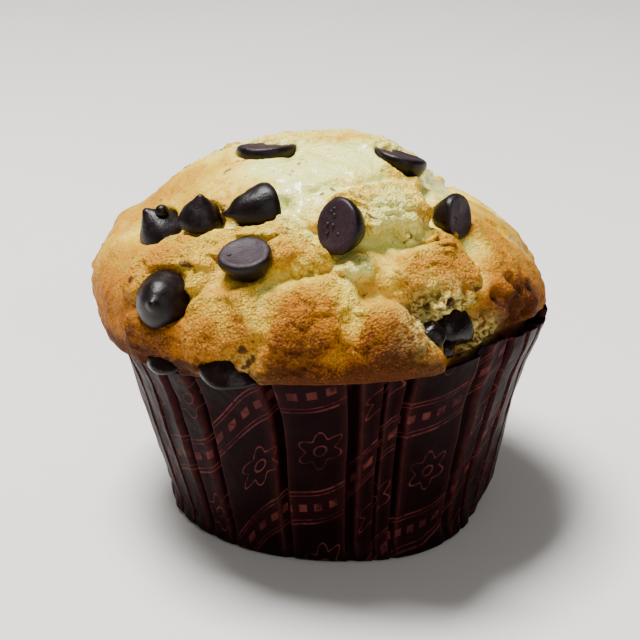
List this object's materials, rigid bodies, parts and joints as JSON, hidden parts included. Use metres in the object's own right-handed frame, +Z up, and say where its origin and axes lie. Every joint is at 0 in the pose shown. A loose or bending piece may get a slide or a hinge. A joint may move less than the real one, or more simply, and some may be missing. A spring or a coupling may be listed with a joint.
{
  "type": "chocolate chip muffin",
  "caption": "Domed chocolate chip muffin with a torn golden crust, baked in a pleated dark paper case that widens upwards.",
  "frame": {"origin": "middle of the case's flat underside", "axes": "+Z up, -Y towards the front, where the crust has broken open beside a cleft, +X to its right"},
  "size_m": [0.0785, 0.0843, 0.065],
  "materials": {
    "crust": "matt baked cake crust, pale yellow to golden brown, gritty and finely pitted",
    "waxed_paper": "thin greaseproof baking paper, very dark brown with a slight waxed sheen, printed with fine bands, rings and dashes in a dull reddish brown",
    "chocolate": "dark chocolate, satin with a faint bloom on the flat bases and gloss where it has melted"
  },
  "bodies": {
    "root": {"cake": "crust", "paper_case": "waxed_paper", "chip_top_left": "chocolate", "chip_top_right": "chocolate", "chip_left_nub": "chocolate", "chip_left_drop": "chocolate", "chip_lying": "chocolate", "chip_middle": "chocolate", "chip_right_shoulder": "chocolate", "chip_flat_up": "chocolate", "chip_left_dome": "chocolate", "chip_under_lip_left": "chocolate", "chip_under_lip_middle": "chocolate", "chip_cleft": "chocolate", "chip_cleft_small": "chocolate", "chip_back_1": "chocolate", "chip_back_2": "chocolate", "chip_back_3": "chocolate", "chip_back_4": "chocolate", "chip_back_5": "chocolate", "chip_back_6": "chocolate", "chip_back_7": "chocolate", "chip_back_8": "chocolate", "chip_back_9": "chocolate"}
  },
  "joints": []
}
